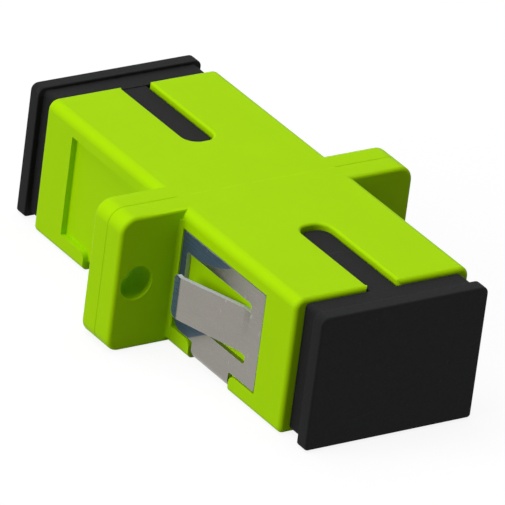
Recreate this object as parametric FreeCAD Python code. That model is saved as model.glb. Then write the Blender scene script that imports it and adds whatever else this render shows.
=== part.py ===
import FreeCAD, Part
import math
import os

# Simplex fibre adapter for two square push-pull plugs, in millimetres.
# X runs across the mounting ears, Y along the optical axis, Z up to the key slots.
# The origin is on the optical axis in the mating plane, where the two mouldings meet.
# Every half is drawn on the -Y side and turned half round about Z for the +Y side.

# Housing body, one of two alike mouldings
body_width = 13.0
body_height = 9.4
half_length = 14.5
body_top_radius = 0.7
body_bottom_radius = 0.4
end_edge_radius = 0.35

# Port for the plug, open at the end of each housing
port_width = 9.1
port_height = 7.5
port_corner_radius = 0.4
mouth_chamfer = 0.2

# Key slot through the top wall
key_slot_width = 2.25
key_slot_length = 8.4
key_slot_corner = 1.0
key_mouth_radius = 0.3

# Mounting flange, half of its thickness on each housing
flange_width = 22.0
flange_half_thickness = 1.6
ear_top_radius = 1.1
ear_bottom_radius = 0.9
ear_edge_radius = 0.2
seam_bevel = 0.05
hole_edge_distance = 1.6
hole_diameter = 2.3
hole_chamfer = 0.12

# Clip recess on both sides of each housing, with a groove for the strap underneath
recess_depth = 0.4
recess_end_margin = 3.15
recess_top = 3.5
recess_bottom = -3.5
groove_start = 3.95
groove_width = 4.6
groove_floor_radius = 0.3
rail_end_radius = 0.7

# Panel clip, one folded strip of spring steel
clip_thickness = 0.3
clip_seat = 0.02
clip_flange_clearance = 0.25
clip_port_clearance = 0.15
clip_top = 3.35
clip_bottom = -3.4
clip_corner_radius = 0.9
clip_small_radius = 0.15
strap_clearance = 0.2
window_top = 2.1
window_bottom = -2.15
window_margin_flange = 0.62
window_margin_port = 1.35
window_corner_radius = 0.2
tongue_root_half_width = 1.55
tongue_taper = 0.12
tongue_length = 5.15
tongue_angle = 18.0
lip_length = 0.75
lip_angle = 9.0
lip_corner_radius = 0.35
lip_end_room = 0.03
bend_radius = 0.35

# Sleeve holder with two latch hooks, one in each housing
holder_plate_width = 10.0
holder_plate_height = 7.9
holder_plate_thickness = 1.0
holder_plate_corner = 0.5
holder_clearance = 0.05
barrel_radius = 2.6
barrel_length = 6.3
barrel_chamfer = 0.25
barrel_lip_radius = 1.48
latch_inner = 3.4
latch_thickness = 0.75
latch_height = 3.0
latch_length = 7.7
hook_depth = 0.5
hook_flat = 0.4
hook_ramp = 1.0
hook_lead = 0.5
latch_tip_radius = 0.2
hook_radius = 0.1

# Split alignment sleeve
sleeve_inner_radius = 1.25
sleeve_wall = 0.35
sleeve_length = 11.4
sleeve_slit = 0.4
sleeve_chamfer = 0.08
sleeve_clearance = 0.02
sleeve_end_play = 0.1

# Dust cap
plug_clearance = 0.05
plug_wall = 0.8
rib_height = 0.65
rib_clearance = 0.1
rib_end_clearance = 0.2
latch_notch_clearance = 0.4
cap_gap = 0.05
neck_width = 11.6
neck_height = 8.8
neck_length = 1.5
neck_corner_radius = 0.3
rim_width = 12.45
rim_height = 9.25
rim_thickness = 1.0
rim_corner_radius = 0.5
rim_edge_chamfer = 0.15
cap_floor = 1.7

# Room by which a cutting tool runs past the face that it cuts, and the least length of an edge
over = 1.0
slot_overcut = 0.01
shortest_edge = 1e-6

groove_floor_half_width = body_width / 2 - recess_depth
groove_floor_half_height = body_height / 2 - recess_depth
hole_pitch = flange_width - 2 * hole_edge_distance
port_end = -half_length
recess_port_end = port_end + recess_end_margin
slot_end = port_end + key_slot_length


def place(plane, offset, u, v):
    if plane == "xz":
        return FreeCAD.Vector(u, offset, v)
    if plane == "xy":
        return FreeCAD.Vector(u, v, offset)
    return FreeCAD.Vector(offset, u, v)


# Tangent points and middle of the arc that rounds one corner of an outline.
def corner_arc(before, corner, after):
    x, y, radius = corner
    back = (before[0] - x, before[1] - y)
    ahead = (after[0] - x, after[1] - y)
    back_length = math.hypot(*back)
    ahead_length = math.hypot(*ahead)
    back = (back[0] / back_length, back[1] / back_length)
    ahead = (ahead[0] / ahead_length, ahead[1] / ahead_length)
    half_angle = math.acos(back[0] * ahead[0] + back[1] * ahead[1]) / 2
    reach = radius / math.tan(half_angle)
    middle = (back[0] + ahead[0], back[1] + ahead[1])
    middle_length = math.hypot(*middle)
    sag = radius / math.sin(half_angle) - radius
    return (
        (x + back[0] * reach, y + back[1] * reach),
        (x + middle[0] / middle_length * sag, y + middle[1] / middle_length * sag),
        (x + ahead[0] * reach, y + ahead[1] * reach),
    )


# Face inside a closed outline of (u, v, corner radius) corners.
def outline_face(plane, offset, corners):
    edges = []
    starts = []
    ends = []
    for index, corner in enumerate(corners):
        before = corners[index - 1]
        after = corners[(index + 1) % len(corners)]
        if corner[2] > 0:
            start, middle, end = corner_arc(before, corner, after)
            points = [place(plane, offset, *point) for point in (start, middle, end)]
            edges.append(Part.Arc(*points).toShape())
        else:
            start = end = corner[:2]
        starts.append(start)
        ends.append(end)
    for index, end in enumerate(ends):
        start = starts[(index + 1) % len(starts)]
        if math.dist(end, start) > shortest_edge:
            line = Part.LineSegment(place(plane, offset, *end), place(plane, offset, *start))
            edges.append(line.toShape())
    return Part.Face(Part.Wire(Part.__sortEdges__(edges)))


def prism(plane, corners, start, end):
    face = outline_face(plane, start, corners)
    return face.extrude(place(plane, end - start, 0, 0))


def rectangle(half_width, half_height, radius):
    return [
        (-half_width, -half_height, radius),
        (half_width, -half_height, radius),
        (half_width, half_height, radius),
        (-half_width, half_height, radius),
    ]


def box(x_range, y_range, z_range):
    low = FreeCAD.Vector(x_range[0], y_range[0], z_range[0])
    size = (x_range[1] - x_range[0], y_range[1] - y_range[0], z_range[1] - z_range[0])
    return Part.makeBox(*size, low)


def cylinder(radius, start, end, x=0.0):
    return Part.makeCylinder(radius, end - start, FreeCAD.Vector(x, start, 0), FreeCAD.Vector(0, 1, 0))


def cone(start_radius, end_radius, start, end, x=0.0):
    base = FreeCAD.Vector(x, start, 0)
    return Part.makeCone(start_radius, end_radius, end - start, base, FreeCAD.Vector(0, 1, 0))


# Edges that lie wholly in the plane Y = y.
def edges_at_y(shape, y):
    return [
        edge
        for edge in shape.Edges
        if abs(edge.BoundBox.YMin - y) < 1e-4 and abs(edge.BoundBox.YMax - y) < 1e-4
    ]


def mirrored_in_x(shape):
    return shape.mirror(FreeCAD.Vector(0, 0, 0), FreeCAD.Vector(1, 0, 0))


def turned_half_round(shape):
    turned = shape.copy()
    turned.rotate(FreeCAD.Vector(0, 0, 0), FreeCAD.Vector(0, 0, 1), 180)
    return turned


def housing_block():
    half_width = body_width / 2
    half_height = body_height / 2
    outline = [
        (-half_width, -half_height, body_bottom_radius),
        (half_width, -half_height, body_bottom_radius),
        (half_width, half_height, body_top_radius),
        (-half_width, half_height, body_top_radius),
    ]
    block = prism("xz", outline, port_end, 0)
    return block.makeFillet(end_edge_radius, edges_at_y(block, port_end))


# Both ears and the band across the body between them, flush with its top and underside.
def flange():
    half_width = flange_width / 2
    half_height = body_height / 2
    outline = [
        (-half_width, -half_height, ear_bottom_radius),
        (half_width, -half_height, ear_bottom_radius),
        (half_width, half_height, ear_top_radius),
        (-half_width, half_height, ear_top_radius),
    ]
    plate = prism("xz", outline, -flange_half_thickness, 0)
    plate = plate.makeFillet(ear_edge_radius, edges_at_y(plate, -flange_half_thickness))
    plate = plate.makeChamfer(seam_bevel, edges_at_y(plate, 0))
    return plate


def ear_holes():
    radius = hole_diameter / 2
    face = -flange_half_thickness
    cutters = []
    for x in (-hole_pitch / 2, hole_pitch / 2):
        cutters.append(cylinder(radius, face - over, over, x))
        flare = radius + hole_chamfer + over
        cutters.append(cone(flare, radius, face - over, face + hole_chamfer, x))
    return cutters


def port_cutter():
    outline = rectangle(port_width / 2, port_height / 2, port_corner_radius)
    shaft = prism("xz", outline, port_end - over, -holder_plate_thickness)
    grow = mouth_chamfer
    wide = rectangle(port_width / 2 + grow, port_height / 2 + grow, port_corner_radius + grow)
    outer = outline_face("xz", port_end, wide).OuterWire
    inner = outline_face("xz", port_end + mouth_chamfer, outline).OuterWire
    mouth = Part.makeLoft([outer, inner], True, True)
    return shaft.fuse(mouth)


# Shallow seat at the mating plane that traps the base of the sleeve holder.
def holder_seat_cutter():
    half_width = holder_plate_width / 2 + holder_clearance
    half_height = holder_plate_height / 2 + holder_clearance
    outline = rectangle(half_width, half_height, holder_plate_corner)
    return prism("xz", outline, -holder_plate_thickness, over)


# The slot is open at the port end, where its two corners are rounded outwards.
def key_slot_cutter():
    half = key_slot_width / 2
    flare = half + key_mouth_radius
    mouth = port_end - slot_overcut
    outline = [
        (-half, slot_end, key_slot_corner),
        (half, slot_end, key_slot_corner),
        (half, mouth, key_mouth_radius),
        (flare + over, mouth, 0),
        (flare + over, mouth - over, 0),
        (-flare - over, mouth - over, 0),
        (-flare - over, mouth, 0),
        (-half, mouth, key_mouth_radius),
    ]
    return prism("xy", outline, 0, body_height / 2 + over)


# Recess of the clip plate, from the flange towards the port.
def side_recess_cutter():
    outside = body_width / 2 + over
    y_range = (recess_port_end, -flange_half_thickness)
    return box((groove_floor_half_width, outside), y_range, (recess_bottom, recess_top))


# Groove that lets the strap pass between the two bottom rails and under the housing.
def strap_groove_cutter():
    near = -groove_start
    far = -groove_start - groove_width
    below = -body_height / 2 - over
    above = recess_bottom + over / 2
    outline = [
        (far, below, 0),
        (near, below, 0),
        (near, recess_bottom, rail_end_radius),
        (near + over, recess_bottom, 0),
        (near + over, above, 0),
        (far - over, above, 0),
        (far - over, recess_bottom, 0),
        (far, recess_bottom, rail_end_radius),
    ]
    outside = body_width / 2 + over
    band = prism("yz", outline, -outside, outside)
    floor = rectangle(groove_floor_half_width, groove_floor_half_height, groove_floor_radius)
    return band.cut(prism("xz", floor, far - 2 * over, near + 2 * over))


def housing():
    solid = housing_block().fuse(flange())
    recess = side_recess_cutter()
    cutters = [recess, mirrored_in_x(recess), strap_groove_cutter()]
    cutters += [port_cutter(), holder_seat_cutter(), key_slot_cutter()]
    cutters += ear_holes()
    for cutter in cutters:
        solid = solid.cut(cutter)
    return solid.removeSplitter()


# One latch arm on the +X side: a flat spring that ends in a hook facing the axis.
def latch_arm():
    outer = latch_inner + latch_thickness
    tip = -latch_length
    ramp_end = tip + hook_ramp
    hook_end = ramp_end + hook_flat
    nose = latch_inner - hook_depth
    outline = [
        (outer, 0, 0),
        (outer, tip, latch_tip_radius),
        (outer - hook_lead, tip, hook_radius),
        (nose, ramp_end, hook_radius),
        (nose, hook_end, 0),
        (latch_inner, hook_end, 0),
        (latch_inner, 0, 0),
    ]
    return prism("xy", outline, -latch_height / 2, latch_height / 2)


def sleeve_holder():
    outline = rectangle(holder_plate_width / 2, holder_plate_height / 2, holder_plate_corner)
    plate = prism("xz", outline, -holder_plate_thickness, 0)
    barrel = cylinder(barrel_radius, -barrel_length, 0)
    barrel = barrel.makeChamfer(barrel_chamfer, edges_at_y(barrel, -barrel_length))
    arm = latch_arm()
    solid = plate.fuse([barrel, arm, mirrored_in_x(arm)])
    bore_radius = sleeve_inner_radius + sleeve_wall + sleeve_clearance
    bore_end = -sleeve_length / 2 - sleeve_end_play
    solid = solid.cut(cylinder(bore_radius, bore_end, over))
    solid = solid.cut(cylinder(barrel_lip_radius, -barrel_length - over, over))
    return solid.removeSplitter()


def alignment_sleeve():
    half = sleeve_length / 2
    tube = cylinder(sleeve_inner_radius + sleeve_wall, -half, half)
    tube = tube.cut(cylinder(sleeve_inner_radius, -half - over, half + over))
    tube = tube.makeChamfer(sleeve_chamfer, edges_at_y(tube, -half) + edges_at_y(tube, half))
    half_slit = sleeve_slit / 2
    return tube.cut(box((-half_slit, half_slit), (-half - over, half + over), (0, 2 * over)))


# The side plate of the clip, flat in its recess, with the window round the tongue.
def clip_plate():
    near = -flange_half_thickness - clip_flange_clearance
    far = recess_port_end + clip_port_clearance
    strap_near = -groove_start - strap_clearance
    strap_far = -groove_start - groove_width + strap_clearance
    strap_top = -groove_floor_half_height + groove_floor_radius
    inner = groove_floor_half_width + clip_seat
    outer = inner + clip_thickness
    outline = [
        (near, clip_bottom, clip_corner_radius),
        (near, clip_top, clip_small_radius),
        (far, clip_top, clip_small_radius),
        (far, clip_bottom, clip_small_radius),
        (strap_far, clip_bottom, clip_small_radius),
        (strap_far, strap_top, 0),
        (strap_near, strap_top, 0),
        (strap_near, clip_bottom, clip_small_radius),
    ]
    plate = prism("yz", outline, inner, outer)
    window_near = near - window_margin_flange
    window_far = far + window_margin_port
    window = [
        (window_near, window_bottom, window_corner_radius),
        (window_near, window_top, window_corner_radius),
        (window_far, window_top, window_corner_radius),
        (window_far, window_bottom, window_corner_radius),
    ]
    return plate.cut(prism("yz", window, inner - over, outer + over))


# Corners of a bent sheet seen edge on, from the middle line of its thickness.
def sheet_outline(line, thickness, inside_radius):
    sides = {1: [], -1: []}
    for index, (x, y) in enumerate(line):
        before = line[max(index - 1, 0)]
        after = line[min(index + 1, len(line) - 1)]
        first = math.atan2(y - before[1], x - before[0]) if index > 0 else None
        last = math.atan2(after[1] - y, after[0] - x) if index < len(line) - 1 else None
        if first is None:
            first = last
        if last is None:
            last = first
        turn = last - first
        middle = (first + last) / 2
        reach = thickness / 2 / math.cos(turn / 2)
        for side in sides:
            radius = 0
            if abs(turn) > 1e-6:
                inside = turn * side > 0
                radius = inside_radius if inside else inside_radius + thickness
            u = x - side * reach * math.sin(middle)
            v = y + side * reach * math.cos(middle)
            sides[side].append((u, v, radius))
    return sides[1] + sides[-1][::-1]


# The spring tongue leans out from its root near the port and ends in a lip by the flange.
def clip_tongue():
    far = recess_port_end + clip_port_clearance
    root = far + window_margin_port
    middle_x = groove_floor_half_width + clip_seat + clip_thickness / 2
    lean = math.radians(tongue_angle)
    fold = math.radians(lip_angle)
    bend = (middle_x, root + 2 * bend_radius)
    crest = (bend[0] + tongue_length * math.sin(lean), bend[1] + tongue_length * math.cos(lean))
    tip = (crest[0] - lip_length * math.sin(fold), crest[1] + lip_length * math.cos(fold))
    line = [(middle_x, root - over / 2), bend, crest, tip]
    sheet = prism("xy", sheet_outline(line, clip_thickness, bend_radius), window_bottom, window_top)
    end = tip[1] + lip_end_room
    outline = [
        (root - over, -tongue_root_half_width, 0),
        (root - over, tongue_root_half_width, 0),
        (root, tongue_root_half_width, 0),
        (end, tongue_root_half_width - tongue_taper, lip_corner_radius),
        (end, tongue_taper - tongue_root_half_width, lip_corner_radius),
        (root, -tongue_root_half_width, 0),
    ]
    return sheet.common(prism("yz", outline, 0, flange_width))


# Strap under the housing, bent up into the side plates at both ends.
def clip_strap():
    half_width = groove_floor_half_width + clip_seat
    half_height = groove_floor_half_height + clip_seat
    radius = groove_floor_radius + clip_seat
    near = -groove_start - strap_clearance
    far = -groove_start - groove_width + strap_clearance
    strap_top = -groove_floor_half_height + groove_floor_radius
    outside = rectangle(half_width + clip_thickness, half_height + clip_thickness, radius + clip_thickness)
    band = prism("xz", outside, far, near)
    band = band.cut(prism("xz", rectangle(half_width, half_height, radius), far - over, near + over))
    return band.cut(box((-body_width, body_width), (far - over, near + over), (strap_top, body_height)))


def panel_clip():
    side = clip_plate().fuse(clip_tongue())
    return clip_strap().fuse([side, mirrored_in_x(side)]).removeSplitter()


# The hollow plug of the cap fits the port, and its rib fills the key slot.
def cap_plug():
    half_width = port_width / 2 - plug_clearance
    half_height = port_height / 2 - plug_clearance
    inner_end = slot_end - rib_end_clearance
    shoulder = port_end - cap_gap
    corner = port_corner_radius - plug_clearance
    plug = prism("xz", rectangle(half_width, half_height, corner), shoulder - over / 2, inner_end)
    rib_half = key_slot_width / 2 - rib_clearance
    rib_corner = key_slot_corner - rib_clearance
    rib = [
        (-rib_half, shoulder - over / 2, 0),
        (rib_half, shoulder - over / 2, 0),
        (rib_half, inner_end, rib_corner),
        (-rib_half, inner_end, rib_corner),
    ]
    plug = plug.fuse(prism("xy", rib, half_height - plug_wall / 2, half_height + rib_height))
    return plug


# Room in the side walls of the plug for the latch hooks behind it.
def latch_notch_cutter():
    half_height = latch_height / 2 + latch_notch_clearance
    front = -latch_length - latch_notch_clearance
    return box((-port_width, port_width), (front, 0), (-half_height, half_height))


def dust_cap():
    shoulder = port_end - cap_gap
    rim_back = shoulder - neck_length
    rim_face = rim_back - rim_thickness
    neck = prism("xz", rectangle(neck_width / 2, neck_height / 2, neck_corner_radius), rim_back, shoulder)
    rim = prism("xz", rectangle(rim_width / 2, rim_height / 2, rim_corner_radius), rim_face, rim_back)
    rim = rim.makeChamfer(rim_edge_chamfer, edges_at_y(rim, rim_face))
    solid = cap_plug().fuse([neck, rim])
    half_width = port_width / 2 - plug_clearance - plug_wall
    half_height = port_height / 2 - plug_clearance - plug_wall
    hollow = rectangle(half_width, half_height, port_corner_radius / 2)
    solid = solid.cut(prism("xz", hollow, rim_face + cap_floor, 0))
    return solid.cut(latch_notch_cutter()).removeSplitter()


def write_step(name, shape):
    solids = len(shape.Solids)
    print(name, "solids", solids, "volume", round(shape.Volume, 3), "valid", shape.isValid())
    shape.exportStep("parts/" + name + ".step")


os.makedirs("parts", exist_ok=True)
front_pieces = {"housing": housing(), "latch_insert": sleeve_holder(), "dust_cap": dust_cap()}
for piece, shape in front_pieces.items():
    write_step("front_" + piece, shape)
    write_step("rear_" + piece, turned_half_round(shape))
write_step("alignment_sleeve", alignment_sleeve())
write_step("panel_clip", panel_clip())
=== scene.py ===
import math

import bmesh
import bpy
from mathutils import Matrix, Vector


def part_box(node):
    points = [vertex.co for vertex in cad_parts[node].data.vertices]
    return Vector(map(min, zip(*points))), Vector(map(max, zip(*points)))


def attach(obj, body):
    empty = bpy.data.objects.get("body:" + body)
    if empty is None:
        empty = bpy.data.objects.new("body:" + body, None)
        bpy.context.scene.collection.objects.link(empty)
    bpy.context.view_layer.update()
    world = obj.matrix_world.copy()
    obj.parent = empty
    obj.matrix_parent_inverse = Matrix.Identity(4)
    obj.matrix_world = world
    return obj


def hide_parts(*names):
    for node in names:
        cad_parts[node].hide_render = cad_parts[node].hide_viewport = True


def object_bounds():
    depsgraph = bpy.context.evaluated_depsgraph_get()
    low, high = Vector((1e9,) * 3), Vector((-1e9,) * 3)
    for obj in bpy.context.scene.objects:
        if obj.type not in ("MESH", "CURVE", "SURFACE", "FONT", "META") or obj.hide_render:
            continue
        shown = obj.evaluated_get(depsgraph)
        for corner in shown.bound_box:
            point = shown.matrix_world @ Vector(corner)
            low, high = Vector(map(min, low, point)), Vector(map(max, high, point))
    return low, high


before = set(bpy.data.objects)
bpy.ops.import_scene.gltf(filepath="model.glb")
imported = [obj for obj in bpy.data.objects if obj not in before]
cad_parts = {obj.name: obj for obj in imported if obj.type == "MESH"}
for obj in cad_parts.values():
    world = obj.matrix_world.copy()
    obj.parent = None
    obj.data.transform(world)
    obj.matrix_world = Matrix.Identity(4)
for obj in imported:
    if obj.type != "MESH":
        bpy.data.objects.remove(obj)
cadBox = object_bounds()
print("frame loaded:", sorted(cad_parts))

# Pieces are shaped in millimetres and brought to metres when finished.
mm = 0.001
axisX, axisY, axisZ = 0, 1, 2

# How far a cutting tool runs past the face that it cuts.
past = 1.0

shaping = {
    "sameRoom": 0.004, "looseRoom": 0.02, "rimRoom": 0.01, "weldReach": 0.0005, "flatAngle": 0.5,
    "sharpAngle": 40.0, "smoothAngle": 38.0, "largestFace": 4,
}


# Helpers for shaping a piece.
def nodeBox(name):
    low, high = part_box(name)
    return [value / mm for value in low], [value / mm for value in high]


def makeActive(piece):
    bpy.ops.object.select_all(action="DESELECT")
    piece.select_set(True)
    bpy.context.view_layer.objects.active = piece


def settle(piece):
    makeActive(piece)
    bpy.ops.object.transform_apply(location=True, rotation=True, scale=True)


def applyStep(piece, name, kind, **values):
    makeActive(piece)
    step = piece.modifiers.new(name, kind)
    for key, value in values.items():
        setattr(step, key, value)
    bpy.ops.object.modifier_apply(modifier=step.name)


def block(name, low, high):
    bpy.ops.object.select_all(action="DESELECT")
    low, high = Vector(low), Vector(high)
    bpy.ops.mesh.primitive_cube_add(size=1, location=(low + high) / 2, scale=high - low)
    piece = bpy.context.object
    piece.name = name
    piece.data.name = name
    settle(piece)
    return piece


def rod(name, centre, length, radius, sides, rotation=(0, 0, 0)):
    bpy.ops.object.select_all(action="DESELECT")
    bpy.ops.mesh.primitive_cylinder_add(
        vertices=sides, radius=radius, depth=length, location=centre, rotation=rotation)
    piece = bpy.context.object
    piece.name = name
    settle(piece)
    return piece


def near(value, target, room=shaping["sameRoom"]):
    return abs(value - target) < room


def runsAlong(edge, axis):
    first, second = (vert.co for vert in edge.verts)
    others = [other for other in (axisX, axisY, axisZ) if other != axis]
    return all(near(first[other], second[other]) for other in others) and not near(first[axis], second[axis])


def liesAt(edge, axis, value):
    return all(near(vert.co[axis], value) for vert in edge.verts)


def middle(edge):
    return (edge.verts[0].co + edge.verts[1].co) / 2


# Tests for the edges to round: those along an axis, if wanted only at a place on another axis.
def edgesAlong(axis, crossAxis=None, value=None):
    return lambda edge: runsAlong(edge, axis) and (crossAxis is None or liesAt(edge, crossAxis, value))


def edgesAt(axis, value):
    return lambda edge: liesAt(edge, axis, value)


def pickEdges(piece, test):
    makeActive(piece)
    bpy.ops.object.mode_set(mode="EDIT")
    bpy.ops.mesh.select_mode(type="EDGE")
    bpy.ops.mesh.select_all(action="DESELECT")
    mesh = bmesh.from_edit_mesh(piece.data)
    picked = [edge for edge in mesh.edges if test(edge)]
    for edge in picked:
        edge.select_set(True)
    bmesh.update_edit_mesh(piece.data)
    return len(picked)


def roundEdges(piece, test, radius, steps):
    if pickEdges(piece, test):
        bpy.ops.mesh.bevel(
            offset=radius, offset_type="OFFSET", segments=steps, affect="EDGES", clamp_overlap=True)
    else:
        print("no edge found to round on", piece.name)
    bpy.ops.object.mode_set(mode="OBJECT")


# Bar along the optical axis, alike on both sides, with its four long edges rounded.
def roundedBar(name, half, start, end, rounding):
    bar = block(name, (-half[0], start, -half[1]), (half[0], end, half[1]))
    roundEdges(bar, edgesAlong(axisY), *rounding)
    return bar


# One solid joined to, or cut out of, another.
def carve(piece, tool, how="DIFFERENCE"):
    applyStep(piece, how.lower(), "BOOLEAN", operation=how, solver="EXACT", object=tool)
    bpy.data.objects.remove(tool)


def mirrorInX(piece):
    applyStep(piece, "otherSide", "MIRROR", use_mirror_merge=False)


def cleanFaces(piece):
    makeActive(piece)
    bpy.ops.object.mode_set(mode="EDIT")
    bpy.ops.mesh.select_all(action="SELECT")
    bpy.ops.mesh.remove_doubles(threshold=shaping["weldReach"])
    bpy.ops.mesh.dissolve_degenerate(threshold=shaping["weldReach"])
    bpy.ops.mesh.dissolve_limited(angle_limit=math.radians(shaping["flatAngle"]))
    bpy.ops.mesh.normals_make_consistent(inside=False)
    bpy.ops.object.mode_set(mode="OBJECT")


# Every sharp outward edge gets a small round, as a real mould or a tumbled sheet has.
def softenAll(piece, width, steps):
    sharp = math.radians(shaping["sharpAngle"])
    roundEdges(piece, lambda e: e.is_convex and e.calc_face_angle(0) > sharp, width, steps)


def toMetres(piece):
    makeActive(piece)
    bpy.ops.object.shade_smooth_by_angle(angle=math.radians(shaping["smoothAngle"]))
    applyStep(piece, "evenShade", "WEIGHTED_NORMAL", keep_sharp=True)
    applyStep(piece, "smallFaces", "TRIANGULATE",
              min_vertices=shaping["largestFace"] + 1, keep_custom_normals=True)
    piece.scale = (mm, mm, mm)
    settle(piece)


# A second, own mesh for the other half, turned half round about the vertical axis.
def turnedCopy(piece, name):
    makeActive(piece)
    bpy.ops.object.duplicate(linked=False)
    copy = bpy.context.object
    copy.name = name
    copy.data.name = name
    copy.rotation_euler = (0, 0, math.pi)
    settle(copy)
    return copy


# Housing. A pair for a rounding is its radius and its steps, and a pair called Half is X and Z.
shellSizes = {
    "halfWidth": 6.5, "topRound": (0.7, 8), "bottomRound": (0.4, 6), "endRound": (0.32, 6),
    "flange": 1.6, "earTop": (1.1, 10), "earBottom": (0.9, 8), "earEdge": (0.28, 5), "seam": (0.05, 1),
    "foot": 0.3, "footInto": 0.1, "footSides": 48, "footLength": 12.0,
    "holeX": 9.4, "holeRadius": 1.15, "holeSides": 64, "holeEdge": (0.14, 4),
    "portHalf": (4.55, 3.75), "portRound": (0.4, 5),
    "seatHalf": (5.05, 4.0), "seatDepth": 1.0, "seatRound": (0.5, 4),
    "slotHalf": 1.125, "slotEnd": -6.1, "slotFrom": 1.0, "slotCorner": (0.95, 10), "slotRim": (0.2, 5),
    "recessFloor": 6.1, "recessNear": -1.83, "recessEnd": -11.35, "recessHalf": 3.5,
    "grooveNear": -3.95, "grooveFar": -8.55, "grooveFloor": -4.3, "grooveRound": (0.3, 5), "grooveInto": 0.2,
    "nearRail": (1.0, 7), "farRail": (0.7, 7), "soft": (0.05, 2),
}


def shellBlock(low, high):
    s = shellSizes
    shell = block("frontShell", (-s["halfWidth"], low[1], low[2]), (s["halfWidth"], 0, high[2]))
    roundEdges(shell, lambda e: runsAlong(e, axisY) and middle(e).z > 0, *s["topRound"])
    roundEdges(shell, edgesAlong(axisY, axisZ, low[2]), *s["bottomRound"])
    return shell


def earPlate(low, high):
    s = shellSizes
    plate = block("ears", (low[0], -s["flange"], low[2]), (high[0], 0, high[2]))
    roundEdges(plate, lambda e: runsAlong(e, axisY) and middle(e).z > 0, *s["earTop"])
    roundEdges(plate, edgesAlong(axisY, axisZ, low[2]), *s["earBottom"])
    roundEdges(plate, edgesAt(axisY, -s["flange"]), *s["earEdge"])
    roundEdges(plate, edgesAt(axisY, 0), *s["seam"])
    return plate


# Hollow rounding where the ear's near face meets the body's side.
def footBar(low, high):
    s = shellSizes
    side, face, radius = s["halfWidth"], -s["flange"], s["foot"]
    foot = block("earFoot", (side - s["footInto"], s["recessNear"], low[2] + s["bottomRound"][0]),
                 (side + radius, face + s["footInto"], high[2] - s["topRound"][0]))
    carve(foot, rod("footHollow", (side + radius, face - radius, 0), s["footLength"], radius, s["footSides"]))
    mirrorInX(foot)
    return foot


def recessTool():
    s = shellSizes
    tool = block("recess", (s["recessFloor"], s["recessEnd"], -s["recessHalf"]),
                 (s["halfWidth"] + past, s["recessNear"], s["recessHalf"]))
    mirrorInX(tool)
    return tool


def slotTool(end, top):
    s = shellSizes
    tool = block("slot", (-s["slotHalf"], end - past, s["slotFrom"]), (s["slotHalf"], s["slotEnd"], top + past))
    roundEdges(tool, edgesAlong(axisZ, axisY, s["slotEnd"]), *s["slotCorner"])
    return tool


# Groove for the clip's strap, round the underside and up both sides.
def grooveTool():
    s = shellSizes
    outside = s["halfWidth"] + past
    tool = block("groove", (-outside, s["grooveFar"], s["grooveFloor"] - past),
                 (outside, s["grooveNear"], s["grooveInto"] - s["recessHalf"]))
    core = block("grooveCore", (-s["recessFloor"], s["grooveFar"] - past, s["grooveFloor"]),
                 (s["recessFloor"], s["grooveNear"] + past, 0))
    roundEdges(core, edgesAlong(axisY, axisZ, s["grooveFloor"]), *s["grooveRound"])
    carve(tool, core)
    return tool


def holeTool():
    s = shellSizes
    start, end = -s["flange"] - past, past
    tool = rod("holes", (s["holeX"], (start + end) / 2, 0), end - start, s["holeRadius"], s["holeSides"],
               (math.pi / 2, 0, 0))
    mirrorInX(tool)
    return tool


# Edges of the key slot where it breaks through the top face.
def isSlotRim(edge, top):
    s, spot = shellSizes, middle(edge)
    inWidth = abs(spot.x) < s["slotHalf"] + shaping["rimRoom"]
    return liesAt(edge, axisZ, top) and inWidth and spot.y < s["slotEnd"] + shaping["rimRoom"]


def isHoleRim(edge):
    s, spot = shellSizes, middle(edge)
    reach = (spot.xz - Vector((math.copysign(s["holeX"], spot.x), 0))).length
    return liesAt(edge, axisY, -s["flange"]) and near(reach, s["holeRadius"], shaping["looseRoom"])


def makeShell():
    s = shellSizes
    low, high = nodeBox("front_housing")
    end, top = low[1], high[2]
    shell = shellBlock(low, high)
    carve(shell, recessTool())
    carve(shell, earPlate(low, high), "UNION")
    carve(shell, footBar(low, high), "UNION")
    cleanFaces(shell)
    carve(shell, roundedBar("port", s["portHalf"], end - past, -s["seatDepth"], s["portRound"]))
    carve(shell, roundedBar("seat", s["seatHalf"], -s["seatDepth"], past, s["seatRound"]))
    carve(shell, slotTool(end, top))
    carve(shell, grooveTool())
    carve(shell, holeTool())
    cleanFaces(shell)
    for y, rounding in ((s["grooveNear"], s["nearRail"]), (s["grooveFar"], s["farRail"])):
        railEnd = edgesAlong(axisX, axisY, y)
        roundEdges(shell, lambda e: railEnd(e) and liesAt(e, axisZ, -s["recessHalf"]), *rounding)
    roundEdges(shell, edgesAt(axisY, end), *s["endRound"])
    roundEdges(shell, lambda e: isSlotRim(e, top), *s["slotRim"])
    roundEdges(shell, isHoleRim, *s["holeEdge"])
    softenAll(shell, *s["soft"])
    return shell


# Dust cap: rim, neck, hollow plug with side notches, and the key rib on top.
capSizes = {
    "rim": 1.0, "rimCorner": (0.5, 6), "rimFoot": (0.25, 4), "rimEdge": (0.16, 4), "rimBack": (0.08, 3),
    "neckHalf": (5.8, 4.4), "neckRound": (0.3, 5), "neckEnd": -14.55,
    "plugHalf": (4.5, 3.7), "plugRound": (0.35, 5),
    "ribHalf": 1.025, "ribTop": 4.35, "ribCorner": (0.85, 8), "ribEdge": (0.1, 3), "ribEdgeFrom": 0.1,
    "hollowHalf": (3.7, 2.9), "hollowEnd": -15.35, "hollowRound": (0.2, 3),
    "notchHeight": 1.9, "notchEnd": -8.1, "soft": (0.04, 2),
}


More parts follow.
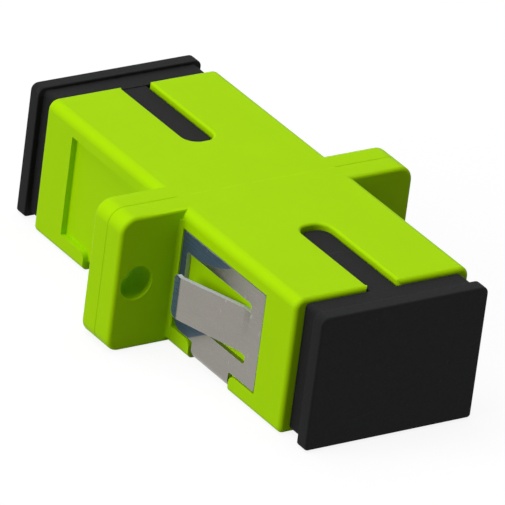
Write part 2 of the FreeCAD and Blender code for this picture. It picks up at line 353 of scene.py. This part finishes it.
def rimPlate(low, high, face, back):
    c = capSizes
    rim = block("frontCapMoulding", (low[0], face, low[2]), (high[0], back, high[2]))
    roundEdges(rim, lambda e: runsAlong(e, axisY) and middle(e).z > 0, *c["rimCorner"])
    roundEdges(rim, edgesAlong(axisY, axisZ, low[2]), *c["rimFoot"])
    roundEdges(rim, edgesAt(axisY, face), *c["rimEdge"])
    roundEdges(rim, edgesAt(axisY, back), *c["rimBack"])
    return rim


def keyRib(back, inner):
    c = capSizes
    rib = block("rib", (-c["ribHalf"], back, 0), (c["ribHalf"], inner, c["ribTop"]))
    roundEdges(rib, edgesAlong(axisZ, axisY, inner), *c["ribCorner"])
    start = back + c["ribEdgeFrom"]
    roundEdges(rib, lambda e: liesAt(e, axisZ, c["ribTop"]) and middle(e).y > start, *c["ribEdge"])
    return rib


def makeCap():
    c = capSizes
    low, high = nodeBox("front_dust_cap")
    face, back, inner = low[1], low[1] + c["rim"], high[1]
    cap = rimPlate(low, high, face, back)
    carve(cap, roundedBar("neck", c["neckHalf"], back - c["rim"] / 2, c["neckEnd"], c["neckRound"]), "UNION")
    carve(cap, roundedBar("plug", c["plugHalf"], back, inner, c["plugRound"]), "UNION")
    carve(cap, keyRib(back, inner), "UNION")
    carve(cap, roundedBar("hollow", c["hollowHalf"], c["hollowEnd"], inner + past, c["hollowRound"]))
    across = c["plugHalf"][0] + past
    carve(cap, block("notch", (-across, c["notchEnd"], -c["notchHeight"]),
                     (across, inner + past, c["notchHeight"])))
    cleanFaces(cap)
    softenAll(cap, *c["soft"])
    return cap


# Panel clip: a folded strip with a window and a sprung tongue on each side.
clipSizes = {
    "inner": 6.12, "sheet": 0.3, "near": -1.85, "far": -11.2, "top": 3.35, "bottom": -3.4,
    "footCorner": (0.9, 8), "corner": (0.15, 3),
    "windowNear": -2.47, "windowFar": -9.85, "windowTop": 2.1, "windowBottom": -2.15, "windowCorner": (0.2, 4),
    "strapNear": -4.15, "strapFar": -8.35, "strapFloor": -4.62, "strapInto": 0.3, "strapBend": 0.62,
    "strapSteps": 7, "tongueHalf": 1.55, "tongueTaper": 0.12, "rootInto": 0.5, "rootStub": 0.2,
    "rootRun": 0.7, "lean": 18.0, "leanRun": 5.15, "fold": 9.0, "foldRun": 0.75,
    "tipCorner": (0.4, 5), "tipReach": 0.1, "tipEdge": 0.2, "bend": 0.5, "bendSteps": 5, "soft": (0.03, 2),
}


def headed(angle):
    return Vector((math.sin(angle), math.cos(angle)))


# Middle line of the tongue seen from above, with its two bends rounded.
def tongueLine():
    c = clipSizes
    line = [Vector((c["inner"] + c["sheet"] / 2, c["windowFar"] - c["rootInto"]))]
    heading, trimmed = 0.0, 0.0
    for run, target in ((c["rootRun"] + c["rootInto"], c["lean"]), (c["leanRun"], -c["fold"])):
        turn = math.radians(target) - heading
        trim = abs(c["bend"] * math.tan(turn / 2))
        line.append(line[-1] + headed(heading) * (run - trim - trimmed))
        turn /= c["bendSteps"]
        for _ in range(c["bendSteps"]):
            heading += turn
            line.append(line[-1] + headed(heading - turn / 2) * abs(c["bend"] * turn))
        trimmed = trim
    line.append(line[-1] + headed(heading) * (c["foldRun"] - trimmed))
    return line


# A narrow strip is extruded along the line, a little slimmer at each step, and then made a sheet.
def makeTongue():
    c = clipSizes
    line = tongueLine()
    half, stub = c["tongueHalf"], c["rootStub"]
    bpy.ops.object.select_all(action="DESELECT")
    bpy.ops.mesh.primitive_plane_add(
        size=1, location=(line[0].x, line[0].y - stub / 2, 0), rotation=(0, math.pi / 2, 0))
    tongue = bpy.context.object
    tongue.name = "tongue"
    tongue.scale = (2 * half, stub, 1)
    settle(tongue)
    pickEdges(tongue, edgesAt(axisY, line[0].y))
    runs = list(zip(line, line[1:]))
    length = sum((b - a).length for a, b in runs)
    for a, b in runs:
        bpy.ops.mesh.extrude_edges_move(TRANSFORM_OT_translate={"value": (b.x - a.x, b.y - a.y, 0)})
        slimmer = half - c["tongueTaper"] * (b - a).length / length
        bpy.ops.transform.resize(value=(1, 1, slimmer / half), center_override=(b.x, b.y, 0))
        half = slimmer
    bpy.ops.object.mode_set(mode="OBJECT")
    applyStep(tongue, "sheet", "SOLIDIFY", thickness=c["sheet"], offset=0)
    tip = line[-1]

    def isTipCorner(edge):
        first, second = (vert.co for vert in edge.verts)
        level = near(first.z, second.z) and near(abs(middle(edge).z), half, shaping["looseRoom"])
        atTip = (middle(edge).xy - tip).length < c["tipReach"]
        return level and atTip and abs(first.x - second.x) > c["tipEdge"]

    roundEdges(tongue, isTipCorner, *c["tipCorner"])
    return tongue


def makeStrap(outer):
    c = clipSizes
    strap = block("strap", (-outer, c["strapFar"], c["strapFloor"]),
                  (outer, c["strapNear"], c["bottom"] + c["strapInto"]))
    roundEdges(strap, edgesAlong(axisY, axisZ, c["strapFloor"]), c["strapBend"], c["strapSteps"])
    inside = c["strapFloor"] + c["sheet"]
    core = block("strapCore", (-c["inner"], c["strapFar"] - past, inside), (c["inner"], c["strapNear"] + past, 0))
    roundEdges(core, edgesAlong(axisY, axisZ, inside), c["strapBend"] - c["sheet"], c["strapSteps"])
    carve(strap, core)
    return strap


def makeClip():
    c = clipSizes
    outer = c["inner"] + c["sheet"]
    side = block("springClip", (c["inner"], c["far"], c["bottom"]), (outer, c["near"], c["top"]))
    roundEdges(side, lambda e: edgesAlong(axisX, axisY, c["near"])(e) and middle(e).z < 0, *c["footCorner"])
    roundEdges(side, lambda e: runsAlong(e, axisX) and (liesAt(e, axisY, c["far"]) or liesAt(e, axisZ, c["top"])),
               *c["corner"])
    window = block("window", (c["inner"] - past, c["windowFar"], c["windowBottom"]),
                   (outer + past, c["windowNear"], c["windowTop"]))
    roundEdges(window, edgesAlong(axisX), *c["windowCorner"])
    carve(side, window)
    carve(side, makeTongue(), "UNION")
    mirrorInX(side)
    carve(side, makeStrap(outer), "UNION")
    cleanFaces(side)
    for y in (c["strapNear"], c["strapFar"]):
        strapEnd = edgesAlong(axisX, axisY, y)
        roundEdges(side, lambda e: strapEnd(e) and liesAt(e, axisZ, c["bottom"]), *c["corner"])
    softenAll(side, *c["soft"])
    return side


# Helpers for nodes.
def linkAll(tree, pairs):
    for source, target in pairs:
        tree.links.new(source, target)


def addNode(tree, kind, place=(0, 0), inputs=None, **values):
    node = tree.nodes.new(kind)
    node.location = place
    for name, value in values.items():
        setattr(node, name, value)
    for name, value in (inputs or {}).items():
        node.inputs[name].default_value = value
    return node


def startGroup(name, inputs, outputs):
    group = bpy.data.node_groups.new(name, "ShaderNodeTree")
    for label, value in inputs.items():
        kind = "NodeSocketVector" if value is None else "NodeSocketFloat"
        socket = group.interface.new_socket(label, in_out="INPUT", socket_type=kind)
        if value is not None:
            socket.default_value = value
    for label in outputs:
        group.interface.new_socket(label, in_out="OUTPUT", socket_type="NodeSocketFloat")
    return group, addNode(group, "NodeGroupInput", (-900, 0)), addNode(group, "NodeGroupOutput", (700, 0))


def placeGroup(tree, group, place, inputs=None):
    return addNode(tree, "ShaderNodeGroup", place, inputs, node_tree=group)


def calculate(tree, how, first, second):
    node = addNode(tree, "ShaderNodeMath", (-900, -700), operation=how)
    for slot, value in enumerate((first, second)):
        if isinstance(value, (int, float)):
            node.inputs[slot].default_value = value
        else:
            tree.links.new(value, node.inputs[slot])
    return node.outputs[0]


# Rises softly from 0 to 1 between two values.
def rise(tree, value, start, end):
    node = addNode(tree, "ShaderNodeMapRange", (-600, -700), {"From Min": start, "From Max": end},
                   interpolation_type="SMOOTHSTEP")
    tree.links.new(value, node.inputs["Value"])
    return node.outputs["Result"]


# Fine grain of a mould or of rolled sheet: a soft shade value about 1, and a height for a bump.
def makeGrain():
    group, start, end = startGroup(
        "surfaceGrain", {"Vector": None, "Fine": 9000.0, "Broad": 260.0, "Shade": 0.06}, ("Shade", "Height"))
    fine = addNode(group, "ShaderNodeTexNoise", (-600, 150), {"Detail": 3.0, "Roughness": 0.6})
    broad = addNode(group, "ShaderNodeTexNoise", (-600, -150), {"Detail": 4.0, "Roughness": 0.5})
    linkAll(group, [
        (start.outputs["Vector"], fine.inputs["Vector"]), (start.outputs["Vector"], broad.inputs["Vector"]),
        (start.outputs["Fine"], fine.inputs["Scale"]), (start.outputs["Broad"], broad.inputs["Scale"]),
    ])
    offMiddle = calculate(group, "SUBTRACT", broad.outputs["Fac"], 0.5)
    spread = calculate(group, "MULTIPLY", offMiddle, start.outputs["Shade"])
    group.links.new(calculate(group, "ADD", spread, 1.0), end.inputs["Shade"])
    group.links.new(fine.outputs["Fac"], end.inputs["Height"])
    return group


# Mask of the edges and corners, broken up so that it isn't even. Its paler colour is wear, and on the steel also a
# painted edge highlight.
def makeEdgeWearAndHighlight():
    group, start, end = startGroup(
        "edgeWearAndHighlight", {"Vector": None, "Reach": 0.00015, "Amount": 1.0, "Breakup": 1800.0}, ("Mask",))
    rounded = addNode(group, "ShaderNodeBevel", (-650, 100), samples=6)
    plain = addNode(group, "ShaderNodeNewGeometry", (-650, -50))
    turn = addNode(group, "ShaderNodeVectorMath", (-450, 50), operation="DOT_PRODUCT")
    ramp = addNode(group, "ShaderNodeMapRange", (-250, 50), {"From Min": 0.995, "From Max": 0.90})
    patches = addNode(group, "ShaderNodeTexNoise", (-450, -200), {"Detail": 3.0})
    patchRamp = addNode(group, "ShaderNodeMapRange", (-250, -200), {"From Min": 0.35, "From Max": 0.65})
    both = addNode(group, "ShaderNodeMath", (0, 0), operation="MULTIPLY")
    scaled = addNode(group, "ShaderNodeMath", (200, 0), operation="MULTIPLY", use_clamp=True)
    linkAll(group, [
        (start.outputs["Reach"], rounded.inputs["Radius"]), (rounded.outputs["Normal"], turn.inputs[0]),
        (plain.outputs["Normal"], turn.inputs[1]), (turn.outputs["Value"], ramp.inputs["Value"]),
        (start.outputs["Vector"], patches.inputs["Vector"]), (start.outputs["Breakup"], patches.inputs["Scale"]),
        (patches.outputs["Fac"], patchRamp.inputs["Value"]), (ramp.outputs["Result"], both.inputs[0]),
        (patchRamp.outputs["Result"], both.inputs[1]), (both.outputs[0], scaled.inputs[0]),
        (start.outputs["Amount"], scaled.inputs[1]), (scaled.outputs[0], end.inputs["Mask"]),
    ])
    return group


# Sparse fine scratches and specks from handling.
def makeHandling():
    group, start, end = startGroup("handlingMarks", {"Vector": None, "Scratches": 0.5, "Specks": 0.5}, ("Mask",))
    warp = addNode(group, "ShaderNodeTexNoise", (-700, 200), {"Scale": 220.0, "Detail": 2.0})
    bent = addNode(group, "ShaderNodeVectorMath", (-520, 200), {1: (0.002, 0.002, 0.002)},
                   operation="MULTIPLY_ADD")
    stretched = addNode(group, "ShaderNodeMapping", (-340, 200), {
        "Rotation": (0.4, 0.7, 0.9), "Scale": (90.0, 2600.0, 900.0)})
    lines = addNode(group, "ShaderNodeTexNoise", (-160, 200), {"Scale": 1.0, "Detail": 1.0})
    thin = addNode(group, "ShaderNodeMapRange", (20, 200), {"From Min": 0.72, "From Max": 0.78})
    dots = addNode(group, "ShaderNodeTexVoronoi", (-340, -200), {"Scale": 900.0})
    small = addNode(group, "ShaderNodeMapRange", (-160, -200), {"From Min": 0.10, "From Max": 0.06})
    chance = addNode(group, "ShaderNodeTexNoise", (-340, -450), {"Scale": 500.0})
    chosen = addNode(group, "ShaderNodeMapRange", (-160, -450), {"From Min": 0.55, "From Max": 0.62})
    total = addNode(group, "ShaderNodeMath", (400, 0), operation="ADD", use_clamp=True)
    lineShare = calculate(group, "MULTIPLY", thin.outputs["Result"], start.outputs["Scratches"])
    fewDots = calculate(group, "MULTIPLY", small.outputs["Result"], chosen.outputs["Result"])
    dotShare = calculate(group, "MULTIPLY", fewDots, start.outputs["Specks"])
    linkAll(group, [
        (start.outputs["Vector"], warp.inputs["Vector"]), (warp.outputs["Color"], bent.inputs[0]),
        (start.outputs["Vector"], bent.inputs[2]), (bent.outputs[0], stretched.inputs["Vector"]),
        (stretched.outputs["Vector"], lines.inputs["Vector"]), (lines.outputs["Fac"], thin.inputs["Value"]),
        (start.outputs["Vector"], dots.inputs["Vector"]), (dots.outputs["Distance"], small.inputs["Value"]),
        (start.outputs["Vector"], chance.inputs["Vector"]), (chance.outputs["Fac"], chosen.inputs["Value"]),
        (lineShare, total.inputs[0]), (dotShare, total.inputs[1]), (total.outputs[0], end.inputs["Mask"]),
    ])
    return group


# Where the strip gets painted dark reflection and shade: beside the flange, over and under the window, and on the
# tongue's lip. Cut is for its bare sheared edges, lightened also as a painted highlight line. All places are in
# millimetres.
zonePlaces = {
    "waveScale": 0.5, "waveSize": 0.3, "soft": 0.12, "flangeFrom": -2.95, "flangeTo": -2.55,
    "bowMiddle": 2.9, "bow": 0.0645, "bowHeight": 2.05, "footSlope": 1.7, "footFrom": -9.52, "footTop": 2.08,
    "lipFrom": -4.3, "lipOut": 7.0, "cutAbove": -1.9, "cutTurned": (0.4, 0.7),
}


def makePaintedReflectionZones():
    z = zonePlaces
    group, start, end = startGroup("paintedReflectionZones", {"Vector": None, "Normal": None}, ("Mask", "CutAndHighlight"))
    scaled = addNode(group, "ShaderNodeVectorMath", (-700, 0), {1: (1 / mm, 1 / mm, 1 / mm)}, operation="MULTIPLY")
    apart = addNode(group, "ShaderNodeSeparateXYZ", (-500, 0))
    facing = addNode(group, "ShaderNodeSeparateXYZ", (-500, 300))
    wave = addNode(group, "ShaderNodeTexNoise", (-700, -300), {"Scale": z["waveScale"], "Detail": 1.0})
    linkAll(group, [
        (start.outputs["Vector"], scaled.inputs[0]), (scaled.outputs[0], apart.inputs[0]),
        (scaled.outputs[0], wave.inputs["Vector"]), (start.outputs["Normal"], facing.inputs[0]),
    ])

    def times(first, second):
        return calculate(group, "MULTIPLY", first, second)

    def plus(first, second):
        return calculate(group, "ADD", first, second)

    def either(first, second):
        return calculate(group, "MAXIMUM", first, second)

    def riseFrom(value, place, spans=1):
        return rise(group, value, place, place + spans * z["soft"])

    height = apart.outputs["Z"]
    y = plus(apart.outputs["Y"], times(calculate(group, "SUBTRACT", wave.outputs["Fac"], 0.5), z["waveSize"]))
    # Painted dark reflection and shade: a strip by the flange, a bow-shaped band over the window, a patch under
    # the tongue, and the tongue's lip.
    byFlange = rise(group, y, z["flangeFrom"], z["flangeTo"])
    away = plus(y, z["bowMiddle"])
    bow = times(times(away, away), z["bow"])
    above = riseFrom(calculate(group, "SUBTRACT", height, bow), z["bowHeight"])
    slant = plus(y, times(height, z["footSlope"]))
    foot = times(riseFrom(slant, z["footFrom"], 2), riseFrom(times(height, -1.0), z["footTop"]))
    outward = calculate(group, "ABSOLUTE", apart.outputs["X"], 0.0)
    lip = times(riseFrom(apart.outputs["Y"], z["lipFrom"]), riseFrom(outward, z["lipOut"]))
    turned = calculate(group, "SUBTRACT", 1.0, calculate(group, "ABSOLUTE", facing.outputs["X"], 0.0))
    # Sheared edges above a height, lightened as bare steel and also as a painted highlight line.
    cut = times(rise(group, turned, *z["cutTurned"]), riseFrom(height, z["cutAbove"] - z["soft"]))
    group.links.new(either(either(byFlange, above), either(foot, lip)), end.inputs["Mask"])
    group.links.new(cut, end.inputs["CutAndHighlight"])
    return group


surfaceGrain = makeGrain()
edgeWearAndHighlight = makeEdgeWearAndHighlight()
handlingMarks = makeHandling()
paintedReflectionZones = makePaintedReflectionZones()


# Parts that the two kinds of material share.
def startMaterial(name, look):
    material = bpy.data.materials.new(name)
    material.use_nodes = True
    tree = material.node_tree
    shader = tree.nodes["Principled BSDF"]
    shader.inputs["Specular IOR Level"].default_value = look["specular"]
    shader.inputs["IOR"].default_value = 1.5
    place = addNode(tree, "ShaderNodeTexCoord", (-1500, 0))
    grain = placeGroup(tree, surfaceGrain, (-1100, 200), {
        "Fine": look["fine"], "Broad": look["broad"], "Shade": look["shade"]})
    wear = placeGroup(tree, edgeWearAndHighlight, (-1100, -50), {"Reach": look["wearReach"], "Amount": look["wear"]})
    marks = placeGroup(tree, handlingMarks, (-1100, -300), {
        "Scratches": look["scratches"], "Specks": look["specks"]})
    base = addNode(tree, "ShaderNodeMix", (-800, 300), {0: 1.0, 6: (*look["colour"], 1)},
                   data_type="RGBA", blend_type="MULTIPLY")
    worn = addNode(tree, "ShaderNodeMix", (-400, 300), {7: (*look["wornAndHighlightColour"], 1)}, data_type="RGBA")
    marked = addNode(tree, "ShaderNodeMix", (-200, 300), {7: (*look["markColour"], 1)}, data_type="RGBA")
    rough = addNode(tree, "ShaderNodeMapRange", (-500, -100), {
        "From Min": 0.3, "From Max": 0.7, "To Min": look["rough"][0], "To Max": look["rough"][1]})
    bump = addNode(tree, "ShaderNodeBump", (-250, -250), {"Strength": look["bump"], "Distance": look["bumpDepth"]})
    linkAll(tree, [
        (place.outputs["Object"], wear.inputs["Vector"]), (place.outputs["Object"], marks.inputs["Vector"]),
        (grain.outputs["Shade"], base.inputs[7]), (wear.outputs["Mask"], worn.inputs[0]),
        (worn.outputs[2], marked.inputs[6]), (marks.outputs["Mask"], marked.inputs[0]),
        (marked.outputs[2], shader.inputs["Base Color"]), (grain.outputs["Height"], rough.inputs["Value"]),
        (rough.outputs["Result"], shader.inputs["Roughness"]), (grain.outputs["Height"], bump.inputs["Height"]),
        (bump.outputs["Normal"], shader.inputs["Normal"]),
    ])
    return material, shader, {"place": place, "grain": grain, "wear": wear, "base": base, "worn": worn}


# Moulded or ground surface: base colour with grain, paler worn edges, marks, and a fine bump.
def moulded(name, look):
    material, shader, made = startMaterial(name, look)
    linkAll(material.node_tree, [
        (made["place"].outputs["Object"], made["grain"].inputs["Vector"]),
        (made["base"].outputs[2], made["worn"].inputs[6]),
    ])
    return material


# Rolled spring steel: fine lines along the strip, painted dark reflection and shade in zones, and light sheared
# and worn edges that are partly a painted edge highlight.
def rolledSteel(name, look):
    material, shader, made = startMaterial(name, look)
    tree = material.node_tree
    along = addNode(tree, "ShaderNodeMapping", (-1300, 200), {"Scale": look["grainScale"]})
    zone = placeGroup(tree, paintedReflectionZones, (-1100, -550))
    # Mixes the painted dark reflection and shade colour into the zones.
    paintedReflection = addNode(tree, "ShaderNodeMix", (-600, 300), {7: (*look["paintedReflectionColour"], 1)}, data_type="RGBA")
    # The sheared edges get a light colour, as bare steel and also as a painted highlight line.
    cut = addNode(tree, "ShaderNodeMix", (-500, 500), {7: (*look["cutAndHighlightColour"], 1)}, data_type="RGBA")
    # Worn and sheared edges are made duller than the steel, which lightens them partly as a painted edge
    # highlight.
    dull = calculate(tree, "MAXIMUM", calculate(tree, "MULTIPLY", zone.outputs["Mask"], look["paintedReflectionDull"]),
                     calculate(tree, "MULTIPLY", made["wear"].outputs["Mask"], look["edgeWearHighlightDull"]))
    dull = calculate(tree, "MAXIMUM", dull, calculate(tree, "MULTIPLY", zone.outputs["CutAndHighlight"], look["cutAndHighlightDull"]))
    linkAll(tree, [
        (made["place"].outputs["Object"], along.inputs["Vector"]),
        (along.outputs["Vector"], made["grain"].inputs["Vector"]),
        (made["place"].outputs["Object"], zone.inputs["Vector"]),
        (made["place"].outputs["Normal"], zone.inputs["Normal"]),
        (made["base"].outputs[2], paintedReflection.inputs[6]), (zone.outputs["Mask"], paintedReflection.inputs[0]),
        (paintedReflection.outputs[2], cut.inputs[6]), (zone.outputs["CutAndHighlight"], cut.inputs[0]),
        (cut.outputs[2], made["worn"].inputs[6]),
        (calculate(tree, "SUBTRACT", 1.0, dull), shader.inputs["Metallic"]),
    ])
    return material


greenLook = {
    "colour": (0.388, 0.702, 0.001), "wornAndHighlightColour": (0.46, 0.78, 0.01), "markColour": (0.45, 0.76, 0.01),
    "specular": 0.035, "rough": (0.42, 0.52), "fine": 7000.0, "broad": 300.0, "shade": 0.05,
    "bump": 0.12, "bumpDepth": 0.00001, "wear": 0.55, "wearReach": 0.00018, "scratches": 0.12, "specks": 0.15,
}
blackLook = {
    "colour": (0.0042, 0.0044, 0.0046), "wornAndHighlightColour": (0.035, 0.036, 0.037), "markColour": (0.03, 0.03, 0.033),
    "specular": 0.15, "rough": (0.66, 0.78), "fine": 9000.0, "broad": 350.0, "shade": 0.35,
    "bump": 0.25, "bumpDepth": 0.00001, "wear": 0.5, "wearReach": 0.00015, "scratches": 0.25, "specks": 0.35,
}
insertLook = {
    "colour": (0.75, 0.72, 0.64), "wornAndHighlightColour": (0.80, 0.78, 0.72), "markColour": (0.60, 0.56, 0.48),
    "specular": 0.4, "rough": (0.38, 0.50), "fine": 8000.0, "broad": 300.0, "shade": 0.06,
    "bump": 0.15, "bumpDepth": 0.00001, "wear": 0.4, "wearReach": 0.0001, "scratches": 0.1, "specks": 0.1,
}
ceramicLook = {
    "colour": (0.86, 0.85, 0.81), "wornAndHighlightColour": (0.90, 0.90, 0.88), "markColour": (0.70, 0.69, 0.66),
    "specular": 0.6, "rough": (0.12, 0.20), "fine": 12000.0, "broad": 500.0, "shade": 0.03,
    "bump": 0.05, "bumpDepth": 0.00001, "wear": 0.3, "wearReach": 0.00005, "scratches": 0.1, "specks": 0.05,
}
steelLook = {
    # The worn colour pales the edges as wear and also as a painted edge highlight.
    "colour": (0.288, 0.272, 0.245), "wornAndHighlightColour": (0.55, 0.54, 0.50), "markColour": (0.55, 0.54, 0.50),
    "specular": 0.2, "rough": (0.24, 0.36), "fine": 14000.0, "broad": 2600.0, "shade": 0.10,
    "bump": 0.2, "bumpDepth": 0.000005, "wear": 0.9, "wearReach": 0.00008, "scratches": 0.35, "specks": 0.15,
    # The zone colour and its dull share are a painted dark reflection and shade on the plate.
    "grainScale": (1.0, 0.04, 1.0), "paintedReflectionColour": (0.058, 0.092, 0.140), "paintedReflectionDull": 0.9,
    # The cut colour and both dull shares lighten the sheared and worn edges, partly as a painted highlight.
    "cutAndHighlightColour": (0.50, 0.52, 0.54), "cutAndHighlightDull": 0.8, "edgeWearHighlightDull": 0.5,
}

greenPlastic = moulded("limeMoulding", greenLook)
blackPlastic = moulded("blackMoulding", blackLook)
palePlastic = moulded("paleInsert", insertLook)
zirconia = moulded("groundCeramic", ceramicLook)
springSteel = rolledSteel("rolledSteel", steelLook)
print("materials ready")


def dress(piece, material):
    piece.data.materials.clear()
    piece.data.materials.append(material)


# Every finished piece stands for its CAD node and rides on that node's body.
def putInPlace(piece, material, body, node):
    dress(piece, material)
    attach(piece, body)
    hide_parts(node)


frontShell = makeShell()
toMetres(frontShell)
rearShell = turnedCopy(frontShell, "rearShell")
putInPlace(frontShell, greenPlastic, "housing", "front_housing")
putInPlace(rearShell, greenPlastic, "housing", "rear_housing")
print("housings ready:", len(frontShell.data.polygons), "faces each")

frontCap = makeCap()
toMetres(frontCap)
rearCap = turnedCopy(frontCap, "rearCapMoulding")
putInPlace(frontCap, blackPlastic, "front_cap", "front_dust_cap")
putInPlace(rearCap, blackPlastic, "rear_cap", "rear_dust_cap")
print("caps ready:", len(frontCap.data.polygons), "faces each")

springClip = makeClip()
toMetres(springClip)
putInPlace(springClip, springSteel, "housing", "panel_clip")
print("clip ready:", len(springClip.data.polygons), "faces")

# The two latch inserts and the sleeve stay as they are, and only get their materials.
for name, material in (("front_latch_insert", palePlastic), ("rear_latch_insert", palePlastic),
                       ("alignment_sleeve", zirconia)):
    dress(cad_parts[name], material)

# Pale floor and room. What is seen is white, and the light that reaches the part is dimmer.
room = {
    "floorHalf": 2.0, "floorDrop": 0.00002, "shadowShare": 0.13, "litShare": 0.9, "bounceColour": 0.30,
    "worldLight": 0.125,
}


def grey(value):
    return (value, value, value, 1)


# 1 for what is seen, straight or in a reflection or through something clear, and 0 for other light.
def seenRays(tree):
    path = addNode(tree, "ShaderNodeLightPath", (-200, 300))
    either = calculate(tree, "MAXIMUM", path.outputs["Is Camera Ray"], path.outputs["Is Glossy Ray"])
    return calculate(tree, "MAXIMUM", either, path.outputs["Is Transmission Ray"])


def makeFloor(low):
    bpy.ops.mesh.primitive_plane_add(size=2 * room["floorHalf"], location=(0, 0, low - room["floorDrop"]))
    floor = bpy.context.object
    floor.name = "floor"
    material = bpy.data.materials.new("paleFloor")
    material.use_nodes = True
    tree = material.node_tree
    tree.nodes.clear()
    out = addNode(tree, "ShaderNodeOutputMaterial", (600, 0))
    mix = addNode(tree, "ShaderNodeMixShader", (400, 0))
    bounce = addNode(tree, "ShaderNodeBsdfDiffuse", (200, 150), {"Color": grey(room["bounceColour"])})
    seen = addNode(tree, "ShaderNodeAddShader", (200, -50))
    shade = addNode(tree, "ShaderNodeBsdfDiffuse", (0, 0), {"Color": grey(room["shadowShare"])})
    glow = addNode(tree, "ShaderNodeEmission", (0, -150), {"Strength": 1 - room["shadowShare"] * room["litShare"]})
    linkAll(tree, [
        (seenRays(tree), mix.inputs[0]), (bounce.outputs[0], mix.inputs[1]),
        (shade.outputs[0], seen.inputs[0]), (glow.outputs[0], seen.inputs[1]),
        (seen.outputs[0], mix.inputs[2]), (mix.outputs[0], out.inputs["Surface"]),
    ])
    dress(floor, material)


def makeWorld():
    world = bpy.data.worlds.new("paleRoom")
    bpy.context.scene.world = world
    world.use_nodes = True
    tree = world.node_tree
    tree.nodes.clear()
    out = addNode(tree, "ShaderNodeOutputWorld", (400, 0))
    mix = addNode(tree, "ShaderNodeMixShader", (200, 0))
    soft = addNode(tree, "ShaderNodeBackground", (0, 100), {"Color": grey(1), "Strength": room["worldLight"]})
    seen = addNode(tree, "ShaderNodeBackground", (0, -100), {"Color": grey(1)})
    linkAll(tree, [
        (seenRays(tree), mix.inputs[0]), (soft.outputs[0], mix.inputs[1]), (seen.outputs[0], mix.inputs[2]),
        (mix.outputs[0], out.inputs["Surface"]),
    ])


# Square lamps aimed at the part's middle, in metres and watts.
lamps = [
    {"name": "topBox", "from": (-0.05, 0.08, 0.60), "size": 0.5, "power": 2.75},
    {"name": "leftBox", "from": (-0.60, 0.10, 0.25), "size": 0.45, "power": 2.75},
]


def addLamp(lamp):
    light = bpy.data.lights.new(lamp["name"], "AREA")
    light.shape = "SQUARE"
    light.size = lamp["size"]
    light.energy = lamp["power"]
    body = bpy.data.objects.new(lamp["name"], light)
    bpy.context.scene.collection.objects.link(body)
    body.location = lamp["from"]
    body.rotation_mode = "QUATERNION"
    body.rotation_quaternion = (-Vector(lamp["from"])).to_track_quat("-Z", "Y")


cameraPlace = {
    "azimuth": -36.512, "elevation": 26.958, "roll": 7.591,
    "distance": 0.5454, "lens": 616.25, "sensor": 36, "across": 0.000285, "up": -0.000301,
    "nearest": 0.01, "furthest": 10,
}


def makeCamera():
    c = cameraPlace
    around, above, roll = (math.radians(c[angle]) for angle in ("azimuth", "elevation", "roll"))
    back = Vector((math.sin(around) * math.cos(above), -math.cos(around) * math.cos(above), math.sin(above)))
    right = (-back).cross(Vector((0, 0, 1))).normalized()
    up = right.cross(-back)
    across = math.cos(roll) * right + math.sin(roll) * up
    upward = -math.sin(roll) * right + math.cos(roll) * up
    data = bpy.data.cameras.new("camera")
    data.sensor_width = c["sensor"]
    data.lens = c["lens"]
    data.clip_start = c["nearest"]
    data.clip_end = c["furthest"]
    camera = bpy.data.objects.new("camera", data)
    bpy.context.scene.collection.objects.link(camera)
    place = back * c["distance"] + across * c["across"] + upward * c["up"]
    camera.matrix_world = Matrix.Translation(place) @ Matrix((across, upward, back)).transposed().to_4x4()
    bpy.context.scene.camera = camera


makeFloor(cadBox[0].z)
makeWorld()
for lamp in lamps:
    addLamp(lamp)
makeCamera()
bpy.context.scene.view_settings.view_transform = "Standard"
print("room and camera ready")
